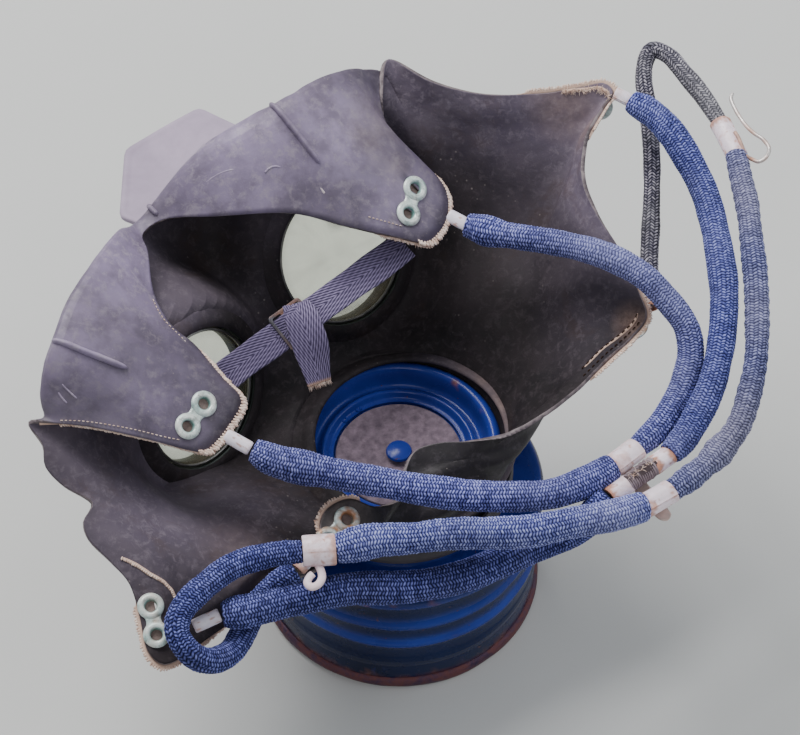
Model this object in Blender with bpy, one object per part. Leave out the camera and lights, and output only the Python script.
"""Full-face rubber respirator on its round filter canister, laid face opening up.

Frame: origin at the centre of the canister's underside, +Z up through the
mouth of the canister.  The forehead points to -X +Y, the chin to +X -Y, the
wearer's right cheek to +X +Y and the left cheek to -X -Y.
All sizes are in millimetres; make_object turns them into metres.
"""
import bpy
import bmesh
from math import sin, cos, pi, radians
from mathutils import Vector, Matrix

MM = 0.001

# ---- driving dimensions ---------------------------------------------------
SHEET_T = 1.0         # sheet steel of the canister
CAN_R = 53.4          # straight wall of the canister
RIM_R = 54.6          # rolled base rim
SHOULDER_Z = 61.0
COLLAR_R = 38.9       # outside of the collar
MOUTH_Z = 88.0
RUBBER_T = 1.6        # moulded facepiece
NECK_R = 40.6         # middle of the rubber neck, stretched over the collar
NECK_Z0 = 66.0
NECK_Z1 = 87.5
LENS_R = 27.0
EYE_HOLE_R = 31.3     # opening in the rubber
EYE_GAP = 3.0         # from the edge of the opening to the eyepiece rim

# (red, green, blue), roughness, metallic
FINISHES = {
    "rubber": ((0.055, 0.045, 0.060), 0.62, 0.0),
    "blue_paint": ((0.010, 0.035, 0.330), 0.30, 0.2),
    "rust_rim": ((0.230, 0.090, 0.070), 0.65, 0.4),
    "steel": ((0.420, 0.400, 0.380), 0.45, 0.9),
    "ferrule": ((0.620, 0.560, 0.540), 0.40, 0.7),
    "eyelet": ((0.600, 0.680, 0.640), 0.38, 0.7),
    "cord": ((0.030, 0.055, 0.260), 0.85, 0.0),
    "cord_grey": ((0.110, 0.120, 0.210), 0.90, 0.0),
    "tape": ((0.095, 0.075, 0.170), 0.90, 0.0),
    "lens": ((0.780, 0.760, 0.600), 0.08, 0.0),
    "valve": ((0.170, 0.135, 0.130), 0.80, 0.0),
    "bezel": ((0.045, 0.060, 0.050), 0.45, 0.5),
    "charcoal": ((0.012, 0.012, 0.012), 0.95, 0.0),
    "felt": ((0.640, 0.600, 0.500), 0.95, 0.0),
}

for old in list(bpy.data.objects):
    bpy.data.objects.remove(old, do_unlink=True)


# ---- objects, materials and cuts ------------------------------------------
def material(name, finish):
    rgb, roughness, metallic = FINISHES[finish]
    mat = bpy.data.materials.new(name)
    mat.use_nodes = True
    shader = mat.node_tree.nodes["Principled BSDF"]
    shader.inputs["Base Color"].default_value = (*rgb, 1.0)
    shader.inputs["Roughness"].default_value = roughness
    shader.inputs["Metallic"].default_value = metallic
    mat.diffuse_color = (*rgb, 1.0)
    return mat


def signed_volume(mesh):
    """Six times the enclosed volume, negative if the faces look inward."""
    volume = 0.0
    for face in mesh.polygons:
        first, *rest = [mesh.vertices[i].co for i in face.vertices]
        for second, third in zip(rest, rest[1:]):
            volume += first.dot(second.cross(third))
    return volume


def make_object(name, solid, origin=(0, 0, 0)):
    """Turn a bmesh in millimetres into a linked object with outward faces."""
    bmesh.ops.recalc_face_normals(solid, faces=solid.faces[:])
    origin = Vector(origin)
    for vert in solid.verts:
        vert.co = (vert.co - origin) * MM
    mesh = bpy.data.meshes.new(name)
    solid.to_mesh(mesh)
    solid.free()
    if signed_volume(mesh) < 0:
        mesh.flip_normals()
    obj = bpy.data.objects.new(name, mesh)
    obj.location = origin * MM
    bpy.context.collection.objects.link(obj)
    return obj


def add(name, solid, finish, sharp_angle=35.0, origin=(0, 0, 0)):
    """Make one finished piece; a sharp_angle of None leaves it flat shaded."""
    obj = make_object(name, solid, origin)
    obj.data.materials.append(material(name + "_mat", finish))
    if sharp_angle is not None:
        obj.data.shade_smooth()
        obj.data.set_sharp_from_angle(angle=radians(sharp_angle))
    return obj


def cut(obj, name, outlines, z0, z1, frame=Matrix.Identity(4)):
    """Cut straight holes of the given outlines through an object."""
    cutter = make_object(name, prisms(outlines, z0, z1, frame))
    cutter.hide_render = True
    cutter.display_type = 'WIRE'
    modifier = obj.modifiers.new("cut_" + name, 'BOOLEAN')
    modifier.operation = 'DIFFERENCE'
    modifier.solver = 'EXACT'
    modifier.object = cutter


# ---- outlines, profiles and curves ----------------------------------------
def circle(radius, count, x=0.0, y=0.0):
    """Evenly spaced points round (x, y)."""
    angles = [2 * pi * k / count for k in range(count)]
    return [(x + radius * cos(angle), y + radius * sin(angle)) for angle in angles]


def rectangle(x0, x1, y0, y1):
    return [(x0, y0), (x1, y0), (x1, y1), (x0, y1)]


def washer(inner, outer, z0, z1):
    """Profile of a flat ring, or of a disc when inner is 0."""
    return [(inner, z0), (outer, z0), (outer, z1), (inner, z1)]


def direction_at(path, i):
    return (path[min(len(path) - 1, i + 1)] - path[max(0, i - 1)]).normalized()


def sheet(line, thickness):
    """Thicken an open (radius, height) line into a closed profile."""
    line = [Vector(point) for point in line]
    left, right = [], []
    for i, point in enumerate(line):
        along = direction_at(line, i)
        offset = Vector((-along.y, along.x)) * (thickness / 2)
        left.append(point + offset)
        right.append(point - offset)
    return left + right[::-1]


def spline(points, steps):
    """Catmull-Rom curve through the points, with steps samples between neighbours."""
    points = [Vector(point) for point in points]
    ends = [points[0] * 2 - points[1]], [points[-1] * 2 - points[-2]]
    padded = ends[0] + points + ends[1]
    curve = []
    for p0, p1, p2, p3 in zip(padded, padded[1:], padded[2:], padded[3:]):
        for k in range(steps):
            t = k / steps
            curve.append(0.5 * ((2 * p1) + (p2 - p0) * t
                                + (2 * p0 - 5 * p1 + 4 * p2 - p3) * t * t
                                + (3 * p1 - p0 - 3 * p2 + p3) * t ** 3))
    return curve + [points[-1]]


def frame_of(position, axis, x_hint=(0, 0, 1)):
    """Frame with +Z along axis and +X as near x_hint as that allows."""
    z = Vector(axis).normalized()
    x = Vector(x_hint)
    x = (x - z * x.dot(z)).normalized()
    frame = Matrix((x, z.cross(x), z)).transposed().to_4x4()
    frame.translation = position
    return frame


# ---- solids ---------------------------------------------------------------
def spin(profile, segments, frame=Matrix.Identity(4)):
    """Spin a closed (radius, height) profile; radius 0 closes on the axis."""
    solid = bmesh.new()
    rings = []
    for radius, z in profile:
        points = [(0, 0)] if radius < 1e-6 else circle(radius, segments)
        rings.append([solid.verts.new(frame @ Vector((x, y, z))) for x, y in points])
    for lower, upper in zip(rings, rings[1:] + rings[:1]):
        if len(lower) == 1 and len(upper) == 1:
            continue
        for k in range(segments):
            k2 = (k + 1) % segments
            if len(lower) == 1:
                solid.faces.new((lower[0], upper[k], upper[k2]))
            elif len(upper) == 1:
                solid.faces.new((lower[k], upper[0], lower[k2]))
            else:
                solid.faces.new((lower[k], upper[k], upper[k2], lower[k2]))
    return solid


def loft(solid, sections):
    """Add to solid a bar through the sections, capped at both ends."""
    rings = [[solid.verts.new(point) for point in section] for section in sections]
    for start, end in zip(rings, rings[1:]):
        for k in range(len(start)):
            k2 = (k + 1) % len(start)
            solid.faces.new((start[k], start[k2], end[k2], end[k]))
    solid.faces.new(rings[0][::-1])
    solid.faces.new(rings[-1])


def prisms(outlines, z0, z1, frame):
    solid = bmesh.new()
    for outline in outlines:
        loft(solid, [[frame @ Vector((x, y, z)) for x, y in outline] for z in (z0, z1)])
    return solid


def tube(path, radius, sides, flat=1.0):
    """Bar along path; radius is one number or a list, flat squashes the section."""
    path = [Vector(point) for point in path]
    radii = radius if isinstance(radius, list) else [radius] * len(path)
    side = Vector((0, 0, 1))
    sections = []
    for i, point in enumerate(path):
        along = direction_at(path, i)
        side = (side - along * side.dot(along)).normalized()
        across = along.cross(side)
        sections.append([point + (side * x * flat + across * y) * radii[i]
                         for x, y in circle(1.0, sides)])
    solid = bmesh.new()
    loft(solid, sections)
    return solid


def strip(path, width, thickness, face):
    """Flat band along path; face is the direction its broad side looks."""
    path = [Vector(point) for point in path]
    face = Vector(face)
    sections = []
    for i, point in enumerate(path):
        along = direction_at(path, i)
        up = (face - along * face.dot(along)).normalized()
        across = along.cross(up)
        sections.append([point + across * x + up * y for x, y in
                         rectangle(-width / 2, width / 2, -thickness / 2, thickness / 2)])
    solid = bmesh.new()
    loft(solid, sections)
    return solid


# ==== canister =============================================================
WALL_R = CAN_R - SHEET_T / 2      # middle of the sheet
BEAD_OUT = 1.3                    # how far a stiffening bead stands out
BEAD_HALF = 3.0                   # half its width up the wall
BEAD_Z = 17.0                     # lowest bead
BEAD_PITCH = 12.0
COLLAR_MID_R = COLLAR_R - 0.4

wall = [(WALL_R, 5.6)]
for bead in range(3):
    bead_z = BEAD_Z + bead * BEAD_PITCH
    wall += [(WALL_R, bead_z - BEAD_HALF), (WALL_R + BEAD_OUT, bead_z),
             (WALL_R, bead_z + BEAD_HALF)]
wall += [(WALL_R, 53.5), (55.1, 55.6), (55.2, 58.6),                  # upper swell
         (53.6, SHOULDER_Z - 0.5), (42.5, SHOULDER_Z + 0.6),          # shoulder
         (COLLAR_MID_R, 64.4), (COLLAR_MID_R, 85.2),                  # collar
         (37.8, 87.1), (36.2, MOUTH_Z - SHEET_T / 2), (34.8, 86.2),   # mouth
         (33.2, 80.6), (31.2, 79.6), (28.6, 81.5), (27.0, 79.3), (25.0, 79.0)]
add("canister_shell", spin(sheet(wall, SHEET_T), 28), "blue_paint")

# the floor is pressed down to the level of the rim in a small boss at its centre
BASE = [(0, 0.0), (0, 1.0), (6.0, 1.0), (7.4, 2.6), (50.6, 2.6), (51.2, 5.2), (53.3, 5.2),
        (RIM_R, 4.4), (RIM_R, 1.2), (53.6, 0.0), (51.8, 0.0), (51.2, 1.6), (8.2, 1.6), (6.8, 0.0)]
INLET_R = 3.4
INLET_RINGS = ((16.0, 6), (33.0, 8))      # pitch radius, number of holes
base = add("canister_base", spin(BASE, 28), "rust_rim")
cut(base, "inlet_cut", [circle(INLET_R, 6, x, y) for radius, count in INLET_RINGS
                        for x, y in circle(radius, count)], -3, 8)

STUD = [(0, 0.0), (3.2, 0.0), (3.0, 1.2), (2.0, 2.1), (0, 2.5)]
add("shoulder_stud", spin(STUD, 14, Matrix.Translation((50.2, -8.0, SHOULDER_Z + 1.0))),
    "blue_paint")

# the filter pack, bottom to top: name, inner radius, outer radius, thickness, finish
PACK_Z = 14.0
PACK_CLEARANCE = 0.4
SCREEN = (6.0, 51.4, 1.0, "steel")
PACK = [
    ("lower_screen", *SCREEN),
    ("particle_pad", 0, 51.0, 9.2, "felt"),
    ("middle_screen", *SCREEN),
    ("charcoal_bed", 0, 51.0, 27.0, "charcoal"),
    ("upper_screen", *SCREEN)]
layer_z = PACK_Z
for name, inner, outer, thickness, finish in PACK:
    add(name, spin(washer(inner, outer, layer_z, layer_z + thickness), 24), finish)
    layer_z += thickness + PACK_CLEARANCE

# barrel-shaped coil below the pack
SPRING_STEPS = 60
SPRING_TURNS = 2.5
SPRING_R = 44.0           # at mid height
SPRING_DRAW_IN = 6.0      # loss of radius per full height away from the middle
SPRING_Z = 4.6
SPRING_H = 7.6


def spring_point(t):
    radius = SPRING_R - SPRING_DRAW_IN * abs(t - 0.5)
    angle = 2 * pi * SPRING_TURNS * t
    return radius * cos(angle), radius * sin(angle), SPRING_Z + SPRING_H * t


coil = [spring_point(k / SPRING_STEPS) for k in range(SPRING_STEPS + 1)]
add("pack_spring", tube(coil, 0.9, 4), "steel")

# ---- outlet plate and inhale valve in the mouth ---------------------------
OUTLET_R = 5.2
OUTLET_PITCH_R = 15.0
SHANK_HOLE_R = 2.4
INHALE_R = 24.2
INHALE_Z0, INHALE_Z1 = 78.1, 79.3
VALVE_STUD = [(0, 75.0), (4.0, 75.0), (4.0, 76.2), (1.9, 76.2), (1.9, 81.2), (4.3, 81.2),
              (3.7, 82.6), (0, 82.9)]
plate = add("outlet_plate", spin(washer(0, 27.6, 76.6, 77.7), 28), "blue_paint")
cut(plate, "outlet_cut", [circle(OUTLET_R, 8, x, y) for x, y in circle(OUTLET_PITCH_R, 6)], 74, 80)
cut(plate, "shank_cut", [circle(SHANK_HOLE_R, 12)], 74, 80)
add("inhale_valve", spin(washer(2.5, INHALE_R, INHALE_Z0, INHALE_Z1), 28), "valve",
    origin=(0, 0, (INHALE_Z0 + INHALE_Z1) / 2))
add("valve_stud", spin(VALVE_STUD, 16), "blue_paint")

# ==== facepiece surface ====================================================
# The rubber is lofted through seven closed loops, from the lower edge of the
# neck to the free rim.  A station is the heading, in degrees about the
# canister axis, at which that part of the sheet leaves the neck; every loop
# gives points (station, x, y, z) and is a smooth closed curve through them.
RIM = [
    (146, -96, 47, 154),                                                  # brow notch
    (141, -88, 53, 156), (134, -69, 53, 158), (124, -41, 53, 160), (113, -20, 50, 156),
    (104, -1, 51, 148),
    (99, 11, 53, 143), (96.5, 17, 62, 143), (94, 18, 73, 145), (91.5, 14, 80, 148),  # right brow lug
    (88, 2, 87, 154), (84.5, -5, 96, 160), (81, -7, 109, 165), (77, -4, 124, 166),   # temple fold
    (73, 12, 115, 164), (69, 31, 110, 162), (64, 54, 111, 161), (60, 69, 114, 161),
    (57, 78, 116, 161), (54, 82, 112, 160), (51, 78, 106, 158),           # right temple lug
    (47.5, 71, 92, 155), (43, 70, 76, 152), (37, 75, 62, 148), (30, 85, 47, 141),
    (25, 90, 35, 136), (20, 93, 26, 132), (15, 88, 19, 129),              # right cheek lug
    (8, 78, 9, 127), (0, 64, -4, 122), (-10, 49, -14, 118), (-20, 38, -18, 116),
    (-30, 26, -19, 114), (-42, 15, -19, 113), (-54, 6, -22, 112), (-66, 2, -30, 111),
    (-77, 2, -38, 110), (-84, -1, -44, 111), (-90, -9, -48, 113), (-94, -18, -46, 115),
    (-97.5, -26, -50, 115), (-100.5, -29, -57, 114),                      # left cheek lug
    (-103.5, -27, -64, 110), (-107, -27, -68, 105), (-111, -34, -70, 101), (-116, -44, -72, 97),
    (-121, -54, -79, 94), (-125, -63, -88, 95), (-128, -70, -97, 99), (-130, -77, -106, 102),
    (-132, -85, -111, 103), (-134.5, -91, -107, 106), (-138, -94, -95, 110),
    (-142, -98, -84, 115), (-146, -105, -77, 119), (-149, -113, -70, 123),
    (-151, -115, -64, 126), (-153, -112, -57, 128), (-155.5, -122, -52, 131),
    (-157.5, -129, -46, 135), (-159.5, -130, -40, 140), (-162, -135, -34, 146),
    (-164, -125, -35, 147), (-166, -112, -36, 146), (-168.5, -91, -38, 141),
    (-171, -76, -40, 137), (-173, -70, -39, 136), (-175.5, -63, -30, 137), (-178, -58, -20, 140),
    (-181, -64, -13, 143),                                                # left brow lug
    (-186, -74.5, -2, 148), (-193, -84.5, 6, 152), (-201, -91.5, 21, 153), (-208, -94, 38, 155)]

CREST = [
    (146, -97, 54, 154), (134, -76, 73, 170), (124, -58, 83, 177), (113, -46, 90, 179),
    (104, -39, 95, 179), (96, -32, 101.5, 178.5), (88, -18, 111, 174.5), (81, -7, 119, 164),
    (77, -1, 118, 160), (69, 31, 107, 158), (60, 67, 110, 158), (54, 77, 109, 157),
    (47.5, 68, 92, 150), (37, 71, 62, 144), (30, 79, 46, 140), (20, 86, 27, 129),
    (8, 74, 14, 123), (-10, 47, -11, 114), (-30, 27, -22, 110), (-54, 8, -27, 108),
    (-77, 0, -41, 106), (-88, -7, -53, 107), (-96, -15, -60, 107), (-103, -22, -63, 105),
    (-110, -31, -65, 101), (-116, -43, -68, 98), (-125, -60, -80, 98), (-131, -80, -99, 105),
    (-142, -90, -82, 116), (-151, -106, -61, 124), (-157.5, -119, -45, 134),
    (-162, -127, -33, 142), (-166, -130, -26, 155), (-173, -125, -12, 164),
    (-182, -120, 5, 167), (-193, -112, 24, 167), (-204, -104, 43, 161)]

OUTER = [
    (146, -91, 60, 143), (134, -76, 79, 156), (122, -56, 90, 162), (109, -38, 93, 163),
    (96, -17, 108, 160), (84, -4, 111, 154), (76, 7, 109, 150), (66, 34, 103, 148),
    (54, 66, 98, 146), (43, 64, 77, 141), (30, 70, 46, 132), (20, 75, 28, 124), (6, 66, 8, 118),
    (-12, 44, -14, 111), (-42, 23, -25, 108), (-70, 4, -37, 105), (-100, -17, -54, 102),
    (-109, -28, -58, 99), (-118, -42, -62, 99), (-131, -70, -84, 104), (-144, -84, -69, 114),
    (-154, -98, -51, 119), (-162, -112, -34, 131), (-170, -118, -18, 148),
    (-182, -109, 4, 152), (-193, -104, 24, 154), (-204, -98, 44, 151)]

MID = [
    (146, -56, 41, 113), (128, -44, 53, 116), (109, -23, 67, 118), (92, 0, 84, 118),
    (77, 18, 86, 120), (57, 46, 76, 119), (40, 54, 56, 117), (20, 60, 30, 113), (0, 56, 2, 109),
    (-20, 43, -19, 106), (-42, 28, -26, 104), (-66, 9, -37, 102), (-90, -6, -50, 100),
    (-108, -24, -56, 98), (-130, -54, -64, 103), (-148, -76, -52, 109), (-165, -93, -28, 112),
    (-182, -75, 3, 112), (-199, -62, 24, 112)]

FLARE = [
    (146, -38, 28, 96), (109, -15, 47, 92), (90, 1, 47, 94), (70, 17, 44, 95), (40, 36, 33, 96),
    (20, 44, 18, 97), (0, 45, 2, 97), (-20, 42, -14, 97), (-42, 33, -28, 97), (-66, 15, -41, 97),
    (-90, -2, -46, 96), (-110, -18, -45, 95), (-130, -35, -39, 95), (-150, -46, -27, 94),
    (-165, -51, -13, 91), (-182, -53, -1, 89), (-198, -47, 13, 93)]

# mesh rows, as height fractions from 0 at the neck's lower edge to 1 at the rim
ROWS = [0.0, 1 / 6, 0.25, 2 / 6, 0.375, 0.42, 0.51, 0.60, 4 / 6, 0.75, 5 / 6, 0.91, 1.0]
MAX_STATION_STEP = 6.0    # wider steps between rim points are halved

EYES = {  # centre, axis pointing into the mask
    "right": (Vector((-23, 67, 118)), Vector((0.53, -0.61, 0.60)).normalized()),
    "left": (Vector((-75, 3, 112)), Vector((0.74, -0.56, 0.38)).normalized())}
# round each eye the rubber is flattened fully within R and DEPTH, then fades out
FLAT_R, FLAT_R_FADE = 35.0, 12.0
FLAT_DEPTH, FLAT_DEPTH_FADE = 24.0, 10.0
EYE_HOLE_REACH = 12.0     # distance along the eye axis within which rubber is trimmed
ON_EDGE = 0.05            # a vertex this near the opening counts as on its edge


def hermite(start, start_tangent, end, end_tangent, t):
    return (start * (2 * t ** 3 - 3 * t * t + 1) + start_tangent * (t ** 3 - 2 * t * t + t)
            + end * (3 * t * t - 2 * t ** 3) + end_tangent * (t ** 3 - t * t))


def loop_at(loop, station):
    """Point of a closed loop, whose stations fall, at the given station."""
    count = len(loop)
    first = loop[0][0]
    while station > first:
        station -= 360.0
    while station <= first - 360.0:
        station += 360.0

    def knot(index):
        heading, *point = loop[index % count]
        return heading - 360.0 * (index // count), Vector(point)

    i = 0
    while i < count - 1 and loop[i + 1][0] >= station:
        i += 1
    (s0, p0), (s1, p1), (s2, p2), (s3, p3) = [knot(i + k) for k in (-1, 0, 1, 2)]
    span = s2 - s1
    return hermite(p1, (p2 - p0) / (s2 - s0) * span, p2, (p3 - p1) / (s3 - s1) * span,
                   (station - s1) / span)


def chord_slope(before, point, after):
    """Slope weighted by chord, so the section does not fold where loops bunch up."""
    chord_in = (point - before).length + 1e-6
    chord_out = (after - point).length + 1e-6
    return ((point - before) / chord_in * chord_out
            + (after - point) / chord_out * chord_in) / (chord_in + chord_out)


def smoothstep(x):
    x = min(1.0, max(0.0, x))
    return x * x * (3 - 2 * x)


def eye_offsets(point, centre, axis):
    """Distances of a point along an eye's axis and out from it."""
    offset = point - centre
    along = offset.dot(axis)
    return along, (offset - axis * along).length


def sheet_point(station, height):
    """Middle of the rubber at a station and height fraction."""
    x = NECK_R * cos(radians(station))
    y = NECK_R * sin(radians(station))
    points = [Vector((x, y, NECK_Z0)), Vector((x, y, NECK_Z1))]
    points += [loop_at(loop, station) for loop in (FLARE, MID, OUTER, CREST, RIM)]
    spans = len(points) - 1
    i = min(spans - 1, int(height * spans))
    start, end = points[i], points[i + 1]
    before = points[i - 1] if i > 0 else start * 2 - end
    after = points[i + 2] if i < spans - 1 else end * 2 - start
    length = (end - start).length + 1e-6
    point = hermite(start, chord_slope(before, start, end) * length,
                    end, chord_slope(start, end, after) * length, height * spans - i)
    if 0.20 < height < 0.80:
        for centre, axis in EYES.values():
            along, out = eye_offsets(point, centre, axis)
            weight = ((1 - smoothstep((out - FLAT_R) / FLAT_R_FADE))
                      * (1 - smoothstep((abs(along) - FLAT_DEPTH) / FLAT_DEPTH_FADE)))
            point = point - axis * along * weight
    return point


def along_sheet(station, height, step):
    """Vector across the sheet at one height, towards falling... rising stations if step > 0."""
    return sheet_point(station + step, height) - sheet_point(station - step, height)


def sheet_normal(station, height):
    """Unit normal on the outside of the rubber, away from the face."""
    step = 0.004
    upward = (sheet_point(station, min(1.0, height + step))
              - sheet_point(station, max(0.0, height - step)))
    return upward.cross(along_sheet(station, height, -0.8)).normalized()


def stations():
    """The rim's stations, with wide steps halved."""
    rim = [knot[0] for knot in RIM]
    result = []
    for here, after in zip(rim, rim[1:] + [rim[0] - 360.0]):
        result.append(here)
        if here - after > MAX_STATION_STEP:
            result.append((here + after) / 2)
    return result


def eye_distance(point):
    """Distance outside the nearest eye opening, negative inside it."""
    best = 99.0
    for centre, axis in EYES.values():
        along, out = eye_offsets(point, centre, axis)
        if abs(along) < EYE_HOLE_REACH:
            best = min(best, out - EYE_HOLE_R)
    return best


def crossing(start, end):
    """Fraction of the way from start to end at which an eye opening's edge is met."""
    outside = eye_distance(start) > 0
    low, high = 0.0, 1.0
    for _ in range(24):
        middle = (low + high) / 2
        if (eye_distance(start.lerp(end, middle)) > 0) == outside:
            low = middle
        else:
            high = middle
    return low


def trim_eyes(surface):
    """Split the surface along both eye openings and delete what is inside."""
    distance = {vert: eye_distance(vert.co) for vert in surface.verts}
    for edge in list(surface.edges):
        start, end = edge.verts
        nearest = min(abs(distance[start]), abs(distance[end]))
        if nearest < ON_EDGE or distance[start] * distance[end] > 0:
            continue
        fraction = crossing(start.co, end.co)
        place = start.co.lerp(end.co, fraction)
        _, vert = bmesh.utils.edge_split(edge, start, fraction)
        vert.co = place
        distance[vert] = 0.0
    for face in list(surface.faces):
        on = [vert for vert in face.verts if abs(distance[vert]) < ON_EDGE]
        if len(on) == 2 and not any(edge.verts[0] in on and edge.verts[1] in on
                                    for edge in face.edges):
            bmesh.utils.face_split(face, on[0], on[1])
    inside = [face for face in surface.faces
              if min(distance[vert] for vert in face.verts) < -ON_EDGE]
    bmesh.ops.delete(surface, geom=inside, context='FACES')
    loose = [vert for vert in surface.verts if not vert.link_faces]
    bmesh.ops.delete(surface, geom=loose, context='VERTS')


def facepiece():
    """Middle surface of the rubber, with both eye openings trimmed round."""
    surface = bmesh.new()
    columns = stations()
    grid = [[surface.verts.new(sheet_point(station, height)) for station in columns]
            for height in ROWS]
    for lower, upper in zip(grid, grid[1:]):
        for k in range(len(columns)):
            k2 = (k + 1) % len(columns)
            surface.faces.new((lower[k], lower[k2], upper[k2], upper[k]))
    trim_eyes(surface)
    return surface


shell = add("facepiece_shell", facepiece(), "rubber", sharp_angle=60)
thicken = shell.modifiers.new("thickness", 'SOLIDIFY')
thicken.thickness = RUBBER_T * MM
thicken.offset = 0.0
thicken.use_even_offset = False

# ==== eyepieces ============================================================
BEZEL_R = EYE_HOLE_R - EYE_GAP
SEAT_R = LENS_R + 0.5     # the bezel's recess for the lens
LIP_R = LENS_R - 1.5
BEZEL = [(BEZEL_R - 2.6, -7.5), (BEZEL_R - 2.6, -2.6), (BEZEL_R, -1.4), (BEZEL_R, 1.6),
         (SEAT_R, 1.6), (SEAT_R, -1.8), (LIP_R, -1.8), (LIP_R, -7.5)]
for side, (centre, axis) in EYES.items():
    frame = frame_of(centre, axis)
    add("eyepiece_rim_" + side, spin(BEZEL, 32, frame), "bezel")
    add("lens_" + side, spin(washer(0, LENS_R, -1.4, -0.2), 28, frame), "lens")
    add("lens_snap_ring_" + side, spin(washer(LENS_R - 1.1, LENS_R, 0.1, 1.1), 28, frame), "steel")

# ==== neck band ============================================================
add("neck_band", spin(washer(NECK_R + 1.3, NECK_R + 3.2, 69.0, 79.0), 32), "rubber")

# ==== exhale valve on the forehead side ====================================
EXHALE_POS = Vector((-61, 58, 117))
EXHALE_AXIS = Vector((-0.62, 0.60, -0.50)).normalized()
EXHALE_BODY = [(5.5, 0), (9.5, 0), (9.5, 3), (8.6, 4), (8.6, 17), (9.6, 18), (9.6, 21), (5.5, 21)]
GUARD_POS = (-79, 99, 121)
GUARD_AXIS = (-0.10, 0.12, 1.0)
GUARD_SIDE = 33.0         # side of the hexagon, and so its corner radius
GUARD_T = 3.0
exhale_frame = frame_of(EXHALE_POS, EXHALE_AXIS)
add("exhale_valve_body", spin(EXHALE_BODY, 20, exhale_frame), "rubber")
add("exhale_valve_flap", spin(washer(0, 8.4, 21.5, 22.6), 18, exhale_frame), "valve",
    origin=EXHALE_POS + EXHALE_AXIS * 22.0)
add("exhale_valve_guard", prisms([circle(GUARD_SIDE, 6)], -GUARD_T / 2, GUARD_T / 2,
                                 frame_of(GUARD_POS, GUARD_AXIS, (0, 1, 0))),
    "rubber", sharp_angle=None)

# ==== tie plates: double eyelets on the six lugs ===========================
EYELET_PITCH = 10.8
EYELET_R = 5.0
EYELET_HOLE_R = 2.5
TIE_PLATE_T = 0.9
# place, station, height fraction, spin in degrees, side of the rubber (1 outside,
# -1 inside), lift off the middle of the rubber
TIE_PLATES = [
    ("brow_right", 97.5, 0.970, 22, 1, 2.0),
    ("brow_left", -175.0, 0.975, 0, 1, 2.0),
    ("temple_right", 57.0, 0.80, 0, 1, 2.2),
    ("temple_left", -136.5, 0.91, 0, -1, 2.2),
    ("cheek_right", 15.5, 0.86, 25, 1, 2.4),
    ("cheek_left", -98.5, 0.93, 0, 1, 2.0)]


def tie_plate_outline():
    """Two arcs of 250 degrees, one round each eyelet, joined by a waist."""
    points = []
    for sign, turn in ((1, 0), (-1, pi)):
        for k in range(7):
            angle = radians(-125 + 250 * k / 6) + turn
            points.append((sign * EYELET_PITCH / 2 + EYELET_R * cos(angle),
                           EYELET_R * sin(angle)))
    return points


for place, station, height, turn, side, lift in TIE_PLATES:
    name = "tie_plate_" + place
    frame = frame_of(sheet_point(station, height), sheet_normal(station, height) * side,
                     along_sheet(station, height, -1.0))
    frame = frame @ Matrix.Rotation(radians(turn), 4, 'Z')
    plate = add(name, prisms([tie_plate_outline()], lift, lift + TIE_PLATE_T, frame),
                "eyelet", sharp_angle=50)
    holes = [circle(EYELET_HOLE_R, 8, sign * EYELET_PITCH / 2) for sign in (1, -1)]
    cut(plate, name + "_holes", holes, lift - 2, lift + 3, frame)

# ==== brow tape and its slider =============================================
TAPE_RIGHT = Vector((0, 53, 138))
TAPE_LEFT = Vector((-65, -4, 134))
tape_dir = (TAPE_RIGHT - TAPE_LEFT).normalized()
tape_face = Vector((0.0, -0.5, 0.86))
tape_face = (tape_face - tape_dir * tape_face.dot(tape_dir)).normalized()
add("brow_tape", strip([TAPE_LEFT.lerp(TAPE_RIGHT, t) for t in (0, 0.3, 0.7, 1)],
                       12.0, 1.2, tape_face), "tape")

slider_pos = TAPE_LEFT.lerp(TAPE_RIGHT, 0.40)
slider_frame = frame_of(slider_pos, tape_face, tape_dir)
slider = add("tape_slider", prisms([rectangle(-9.2, 9.2, -8.8, 8.8)], 1.1, 1.9, slider_frame),
             "steel", sharp_angle=None, origin=slider_pos)
cut(slider, "slider_slots", [rectangle(x0, x1, -6.6, 6.6) for x0, x1 in ((-6.6, -2.2), (2.2, 6.6))],
    0, 4, slider_frame)

# the loose end of the tape, hanging from the slider
TAIL_DROP = [(0, 0, 0), (3.5, -8.5, -4.5), (5.5, -16.5, -11.5), (7, -22.5, -18.5)]
tail_top = slider_pos + tape_face * 4.4 + tape_dir * 2.0
add("tape_tail", strip(spline([tail_top + Vector(drop) for drop in TAIL_DROP], 2),
                       13.0, 1.1, tape_face), "tape", origin=slider_pos)

# ==== harness: cords, end tubes and ferrules ===============================
# Each end tube leaves its lug along a straight line; the cord starts on that
# line a little past the tube.
STRAP_TUBES = {
    "brow_right": ((20, 65, 143.0), (27, 61, 142.0)),
    "brow_left": ((-62.5, -32.5, 135.6), (-54.5, -36, 132.6)),
    "temple_right": ((83.5, 112, 159.5), (90, 109, 158)),
    "temple_left": ((-73, -97, 108), (-65, -94, 110)),
    "cheek_right": ((95, 32, 130.5), (95.5, 40, 129.5)),
    "cheek_left": ((-30, -64, 108.0), (-37, -71, 105.5))}
for place, ends in STRAP_TUBES.items():
    add("strap_tube_" + place, tube(ends, 2.9, 10, flat=0.85), "ferrule")

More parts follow.
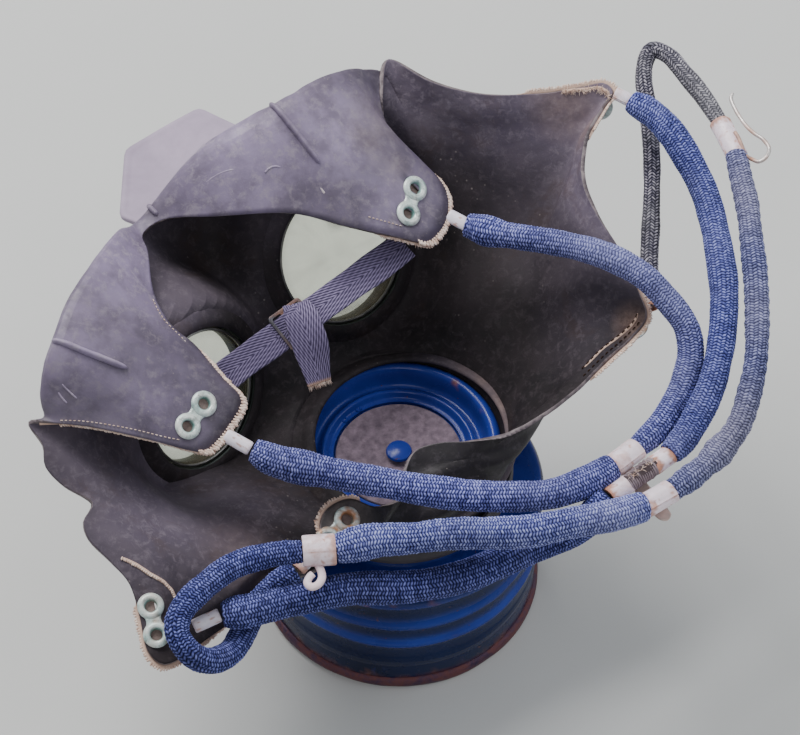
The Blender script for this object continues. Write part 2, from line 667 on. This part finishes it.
# radius, length trimmed off the start, off the end, end that narrows, centre line
CORDS = {
    "brow_cord_right": (5.1, 2.0, 2.4, "end", [
        (27, 61, 142), (38, 56, 144), (61, 48, 148), (77, 40, 151), (90, 33, 149), (99, 26, 144),
        (107, 18, 137), (109, 10, 130), (107, 2, 125), (103, -6, 121), (96, -17, 119),
        (88, -25, 118)]),
    "brow_cord_left": (5.9, 2.4, 2.0, "start", [
        (80, -33, 118), (70, -40, 118), (54, -47, 119), (30, -49, 121), (11, -48, 123),
        (-5, -46, 125), (-25, -43, 127), (-44, -40, 130), (-54.5, -36, 132.6)]),
    "temple_cord_right": (5.5, 2.0, 2.4, "end", [
        (90, 109, 158), (97, 104, 157), (104, 96, 155), (111, 84, 151), (116, 72, 148),
        (119, 59, 145), (121, 45, 142), (122, 32, 139), (121, 17, 135), (119, 6, 131),
        (116, -4, 127), (111, -13, 122), (106, -21, 119), (100, -28, 118)]),
    "temple_cord_left": (6.0, 2.4, 2.0, "start", [
        (78, -46, 117), (70, -52, 110.5), (61, -56, 106), (48, -61, 105), (30, -71, 105),
        (15, -77, 106), (0, -80, 107), (-18, -82, 109), (-36, -87, 110), (-54, -92, 110),
        (-65, -94, 110)]),
    "neck_cord_hook": (3.5, 2.0, 1.6, None, [
        (95.5, 40, 129.5), (95, 53, 131), (96, 69, 133), (97, 89, 136), (97, 106, 139),
        (96, 122, 141), (95, 133, 143), (96, 142, 144), (99, 146, 146), (105, 142, 147),
        (110, 133, 148), (117, 120, 149), (123, 107, 149)]),
    "neck_cord_right": (4.5, 1.8, 2.4, "end", [
        (129, 90, 148), (130, 81, 147), (132, 69, 145), (133, 54, 143), (134, 37, 140),
        (134, 21, 136), (133, 5, 132), (130, -8, 128), (126, -19, 124), (119, -28, 121),
        (111, -36, 119), (101, -44, 118)]),
    "neck_cord_left": (6.0, 2.4, 2.0, "start", [
        (89, -52, 118), (77, -58, 121), (63, -62, 122.5), (48, -66, 123), (33, -67, 123),
        (19, -68, 124), (4, -70, 124), (-9, -71, 124), (-22, -74, 123)]),
    "neck_cord_end": (4.8, 2.0, 5.0, None, [
        (-36, -75, 123), (-47, -76, 122), (-60, -80, 121), (-70, -88, 120), (-78, -97, 118.5),
        (-80, -105, 115.5), (-75, -111, 110), (-68, -110, 104), (-61, -103, 99.5),
        (-56, -92, 98.5), (-51, -81, 100), (-44, -75, 103), (-37, -71, 105.5)])}
NARROW_SCALE = 0.62       # radius at a narrowed tip, as a share of the cord's
NARROW_SPAN = 1.2         # length of the narrowing, in path samples


def trim_start(path, length):
    path = list(path)
    while len(path) > 2 and (path[1] - path[0]).length < length:
        length -= (path[1] - path[0]).length
        path.pop(0)
    path[0] = path[0] + (path[1] - path[0]).normalized() * length
    return path


def cord_radii(radius, count, narrow):
    """Radius at each of count path points, drawn in at the narrow end if any."""
    if narrow is None:
        return [radius] * count
    shares = [min(1.0, i / (count - 1) * count / NARROW_SPAN) for i in range(count)]
    radii = [radius * (NARROW_SCALE + (1 - NARROW_SCALE) * share) for share in shares]
    return radii if narrow == "start" else radii[::-1]


for name, (radius, start_trim, end_trim, narrow, points) in CORDS.items():
    path = trim_start([Vector(point) for point in points], start_trim)
    path = trim_start(path[::-1], end_trim)[::-1]
    add(name, tube(path, cord_radii(radius, len(path), narrow), 8),
        "cord_grey" if name == "neck_cord_hook" else "cord")

# radius, squash of the section, ends
FERRULES = {
    "brow": (4.0, 0.8, (88, -25.3, 118), (79.6, -33.0, 118)),
    "temple_upper": (3.7, 0.8, (100.2, -28.0, 118), (94.0, -33.4, 118)),
    "temple_lower": (3.7, 0.8, (84.4, -41.1, 117.7), (78.0, -46.2, 117.2)),
    "neck": (4.3, 0.8, (100.2, -44.6, 118), (90.0, -51.6, 118)),
    "hook": (3.9, 0.8, (123.4, 105.9, 149), (129.0, 90.8, 148)),
    "eye": (6.3, 1.0, (-23.0, -74.0, 123), (-35.0, -75.0, 123))}
for place, (radius, flat, *ends) in FERRULES.items():
    add("ferrule_" + place, tube(ends, radius, 12, flat), "ferrule")

# centre lines of the small parts
CENTRE_TIE = [(93.4, -33.9, 118), (89.2, -37.4, 118), (85.0, -40.6, 117.8)]
CLIP = [(79.5, -23.5, 112.9), (89, -38.5, 112.7), (99, -54.0, 112.7)]
HOOK = [(134, 89, 148.5), (137, 87, 149), (140, 89, 150), (141, 93, 150), (139, 97, 150),
        (136, 100, 150), (133, 104, 150), (130, 110, 150), (128, 116, 150), (128, 120, 150)]
HOOK_EYE = [(-29, -82.6, 121), (-28, -86, 120.5), (-28.5, -89, 120), (-31, -90, 120),
            (-33, -87.5, 120.5)]
add("centre_tie", tube(CENTRE_TIE, 3.6, 10), "cord_grey")
add("junction_clip", strip(CLIP, 6.0, 0.9, (0, 0, 1)), "steel")
add("wire_hook", tube(spline(HOOK, 2), 0.75, 6), "steel", origin=HOOK[0])
add("hook_eye", tube(spline(HOOK_EYE, 2), 1.3, 6), "ferrule")
